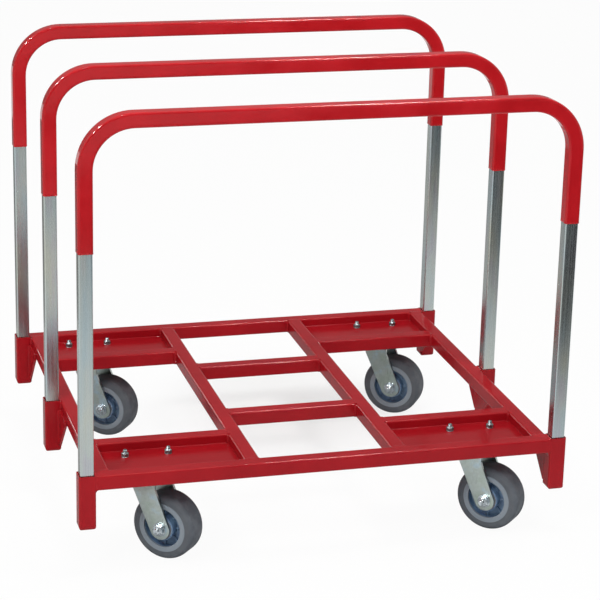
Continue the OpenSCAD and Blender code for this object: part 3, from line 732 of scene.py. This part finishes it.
# Axle sets: bolt, washers, lock nut and the sleeve in the hub, in millimetres along the axle from the wheel's middle
axle = dict(flats=19, headHigh=8, rod=12.7, pitch=1.95, forkOut=33.5, nutEnd=44.5, tip=48.5, washer=13,
            washerThick=1.6, sleeve=19, sleeveHalf=28, collarHigh=2.6, collarShare=0.45, edge=0.3, headTurn=20)


def axleFrame(tag):
    spin = joints["wheel_spin_" + tag]
    along = Vector(spin["axis"])
    turn = Matrix((along.cross(axisZ), axisZ, -along)).transposed().to_4x4()
    return Matrix.Translation(spin["pos_m"]) @ turn


for tag in cornerTags:
    points, faces = [], []
    place = axleFrame(tag) @ Matrix.Rotation(math.radians(axle["headTurn"]), 4, "Z")
    rod, sleeve, half = axle["rod"] / 2, axle["sleeve"] / 2, axle["sleeveHalf"]
    thick, out, nutEnd, washer, edge = (axle[key] for key in ("washerThick", "forkOut", "nutEnd", "washer", "edge"))
    addRings(points, faces, hexRings(axle["flats"], -out - axle["headHigh"], -out), place)
    addRings(points, faces, turnedRings([(rod, -out), (rod, out + thick)], 32), place)
    addRings(points, faces, threadRings(rod, axle["pitch"], out + thick, axle["tip"]), place)
    addRings(points, faces, turnedRings([(washer - edge, out), (washer, out + edge), (washer, out + thick - edge),
                                         (washer - edge, out + thick)]), place)
    hexEnd, collar = nutEnd - axle["collarHigh"], axle["flats"] * axle["collarShare"]
    addRings(points, faces, hexRings(axle["flats"], out + thick, hexEnd), place)
    addRings(points, faces, turnedRings([(collar, hexEnd - 0.8), (collar, nutEnd - 1.2),
                                         (collar - 0.5, nutEnd - edge), (collar - 1.3, nutEnd),
                                         (rod - edge, nutEnd - 0.2)]), place)
    addRings(points, faces, turnedRings([(sleeve, -half), (sleeve, half)]), place)
    axleSet = newPiece("axle_set_" + tag, points, faces, [finishes["zinc_fasteners"]], "caster_" + tag)
    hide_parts("axle_" + tag)
print("axle sets made")

# Bearing caps pressed into both ends of each hub, in millimetres from the axle and from the wheel's middle
cap = dict(bore=11.5, outer=22, wall=0.4, start=20.5, face=27.7, edge=1.2, thick=0.65, fold=2.2, edgeSteps=6)
for tag in cornerTags:
    points, faces = [], []
    bore, outer, face, edge, start = (cap[key] for key in ("bore", "outer", "face", "edge", "start"))
    inside, back, fold, steps = outer - cap["wall"], face - cap["thick"], cap["fold"], cap["edgeSteps"]
    angles = [math.radians(90 / steps * k) for k in range(steps + 1)]
    rim = [(outer - edge * (1 - math.sin(a)), face - edge * (1 - math.cos(a))) for a in angles]
    profile = [(bore, back), (bore, face)] + rim + [(outer, start), (inside, start), (inside, face - fold),
                                                    (outer - fold, back)]
    for end in (-1, 1):
        addRings(points, faces, turnedRings([(r, end * z) for r, z in profile]), axleFrame(tag), True)
    newPiece("hub_caps_" + tag, points, faces, [capFinish], "wheel_" + tag)
print("hub caps made")

# Stage: a pale floor that fades to white for the camera and in reflections, and keeps the shadow under the deck
stage = dict(white="#e6e6e4", size=30, whiteShare=0.95, shadeShare=0.6, shadeSpot=(0.12, 0.34, 0),
             shadeReach=(0.34, 0.42, 1), shadeCore=0.2, skyLight=0.55)


# 1 for what the camera, a mirror or glass sees, 0 for the light that falls on the cart
def seenShare(tree):
    paths = addNode(tree, "LightPath").outputs
    seen = addNode(tree, "Math", {0: paths["Is Camera Ray"], 1: paths["Is Glossy Ray"]},
                   operation="MAXIMUM").outputs[0]
    return addNode(tree, "Math", {0: seen, 1: paths["Is Transmission Ray"]}, operation="MAXIMUM").outputs[0]


def addBoard(name, wide, high, finish):
    x, y = wide / 2, high / 2
    mesh = bpy.data.meshes.new(name)
    mesh.from_pydata([(-x, -y, 0), (x, -y, 0), (x, y, 0), (-x, y, 0)], [], [(0, 1, 2, 3)])
    mesh.materials.append(finish)
    board = bpy.data.objects.new(name, mesh)
    scene.collection.objects.link(board)
    return board


def makeStage():
    finish = bpy.data.materials.new("paleFloor")
    tree = emptyTree(finish)
    place = addNode(tree, "TexCoord").outputs["Object"]
    fromSpot = addNode(tree, "VectorMath", {0: place, 1: stage["shadeSpot"]}, operation="SUBTRACT").outputs[0]
    scaled = addNode(tree, "VectorMath", {0: fromSpot, 1: stage["shadeReach"]}, operation="DIVIDE").outputs[0]
    away = addNode(tree, "VectorMath", {0: scaled}, operation="LENGTH").outputs["Value"]
    level = addNode(tree, "MapRange", {0: away, 1: stage["shadeCore"], 3: stage["shadeShare"],
                                       4: stage["whiteShare"]}, interpolation_type="SMOOTHSTEP").outputs[0]
    share = addNode(tree, "Math", {0: seenShare(tree), 1: level}, operation="MULTIPLY").outputs[0]
    matt = addNode(tree, "BsdfDiffuse", {"Color": stage["white"]}).outputs[0]
    glow = addNode(tree, "Emission", {"Color": "#ffffff", "Strength": 1.0}).outputs[0]
    both = addNode(tree, "MixShader", {0: share, 1: matt, 2: glow}).outputs[0]
    addNode(tree, "OutputMaterial", {"Surface": both})
    addBoard("studioFloor", stage["size"], stage["size"], finish)
    world = bpy.data.worlds.new("studio")
    scene.world = world
    tree = emptyTree(world)
    soft = addNode(tree, "Background", {"Color": "#ffffff", "Strength": stage["skyLight"]}).outputs[0]
    white = addNode(tree, "Background", {"Color": "#ffffff", "Strength": 1.0}).outputs[0]
    both = addNode(tree, "MixShader", {0: seenShare(tree), 1: soft, 2: white}).outputs[0]
    addNode(tree, "OutputWorld", {"Surface": both})


makeStage()

# Lamps: a soft key from the left, a fill from the right, one overhead and a cool low one. Reflections see the cards
# below instead.
lamps = dict(key=dict(place=(-2, -2.2, 2.8), size=0.9, power=42),
             fill=dict(place=(2.4, -2.8, 2.6), size=1.6, power=5),
             top=dict(place=(0.2, -0.6, 3.4), size=0.9, power=46),
             low=dict(place=(0.5, -2.6, 0.4), size=1, power=6, tone="#c4d8ff"))
aimAt = Vector((0, 0, 0.35))
for name, lamp in lamps.items():
    light = bpy.data.lights.new(name + "Lamp", "AREA")
    light.size, light.energy = lamp["size"], lamp["power"]
    light.color = hexToLinear(lamp.get("tone", "#ffffff"))[:3]
    holder = bpy.data.objects.new(name + "Lamp", light)
    scene.collection.objects.link(holder)
    holder.location = lamp["place"]
    holder.rotation_euler = (aimAt - Vector(lamp["place"])).to_track_quat("-Z", "Y").to_euler()
    holder.visible_glossy = holder.visible_camera = False

# Cards that only reflections see: grey ones behind the cart, in front of it and on the floor, two of them fading along
# their width, one on the floor under and behind the deck as a painted shadow of the cart, and small bright ones that
# make the short glints on the bends and along the edges
cards = dict(backFlag=dict(place=(0.6, 3.2, 1.75), facing=(0, -1, -0.2), wide=4.6, high=2.3, tone="#909090"),
             roomFlag=dict(place=(0, -5, 2.6), facing=(0, 1, 0), wide=12, high=4.4, tone="#4a4a4a"),
             frontFade=dict(place=(1.49, -2.52, 0.0005), facing=(0, 0, 1), turn=-38.5, wide=3.6, high=3,
                            tone="#f6f6f6", farTone="#2c2c2e", fade=(-1.74, -0.86)),
             # painted shadow: a grey card on the floor under and behind the deck, seen only in reflections
             underFlag=dict(place=(-0.12, 0.28, 0.0005), facing=(0, 0, 1), wide=1.25, high=1.4, tone="#a6a6a6"),
             rearFade=dict(place=(-0.55, 2.1, 0.0005), facing=(0, 0, 1), wide=2.1, high=2.2, tone="#5c5c5c",
                           farTone="#c2c2c2", fade=(-0.5, 0.35)),
             visor=dict(place=(-1.05, 1.5, 0.86), facing=(0, -1, 0), wide=1.1, high=0.48, tone="#6a6a6a"),
             lowGlint=dict(place=(-6.91, -2.63, 6.48), turn=16, wide=6, high=0.45, strength=150),
             highGlint=dict(place=(-5.8, -2.66, 7.52), turn=16, wide=6, high=0.45, strength=150),
             edgeGlint=dict(place=(0.85, -1.0, 3.2), wide=0.4, high=0.5, strength=130),
             rearGlint=dict(place=(-1.55, 3.34, 0.8), wide=1.1, high=0.55, strength=8))
for name, card in cards.items():
    finish = bpy.data.materials.new(name)
    tree = emptyTree(finish)
    tone = card.get("tone", "#ffffff")
    if "fade" in card:
        place = addNode(tree, "TexCoord").outputs["Object"]
        along = addNode(tree, "SeparateXYZ", {0: place}).outputs[0]
        share = addNode(tree, "MapRange", {0: along, 1: card["fade"][0], 2: card["fade"][1]},
                        interpolation_type="SMOOTHSTEP").outputs[0]
        tone = addNode(tree, "Mix", {0: share, 6: tone, 7: card["farTone"]}, data_type="RGBA").outputs[2]
    cloth = addNode(tree, "Emission", {"Color": tone, "Strength": card.get("strength", 1)}).outputs[0]
    addNode(tree, "OutputMaterial", {"Surface": cloth})
    board = addBoard(name, card["wide"], card["high"], finish)
    aim = Matrix.Rotation(math.radians(card.get("turn", 0)), 4, "Z")
    if card.get("facing") != (0, 0, 1):
        facing = Vector(card["facing"]) if "facing" in card else aimAt - Vector(card["place"])
        aim = facing.to_track_quat("Z", "Y").to_matrix().to_4x4() @ aim
    board.matrix_world = Matrix.Translation(card["place"]) @ aim
    board.visible_camera = board.visible_diffuse = board.visible_shadow = board.visible_transmission = False
scene.view_settings.view_transform = "Standard"
print("stage, lamps and cards set")
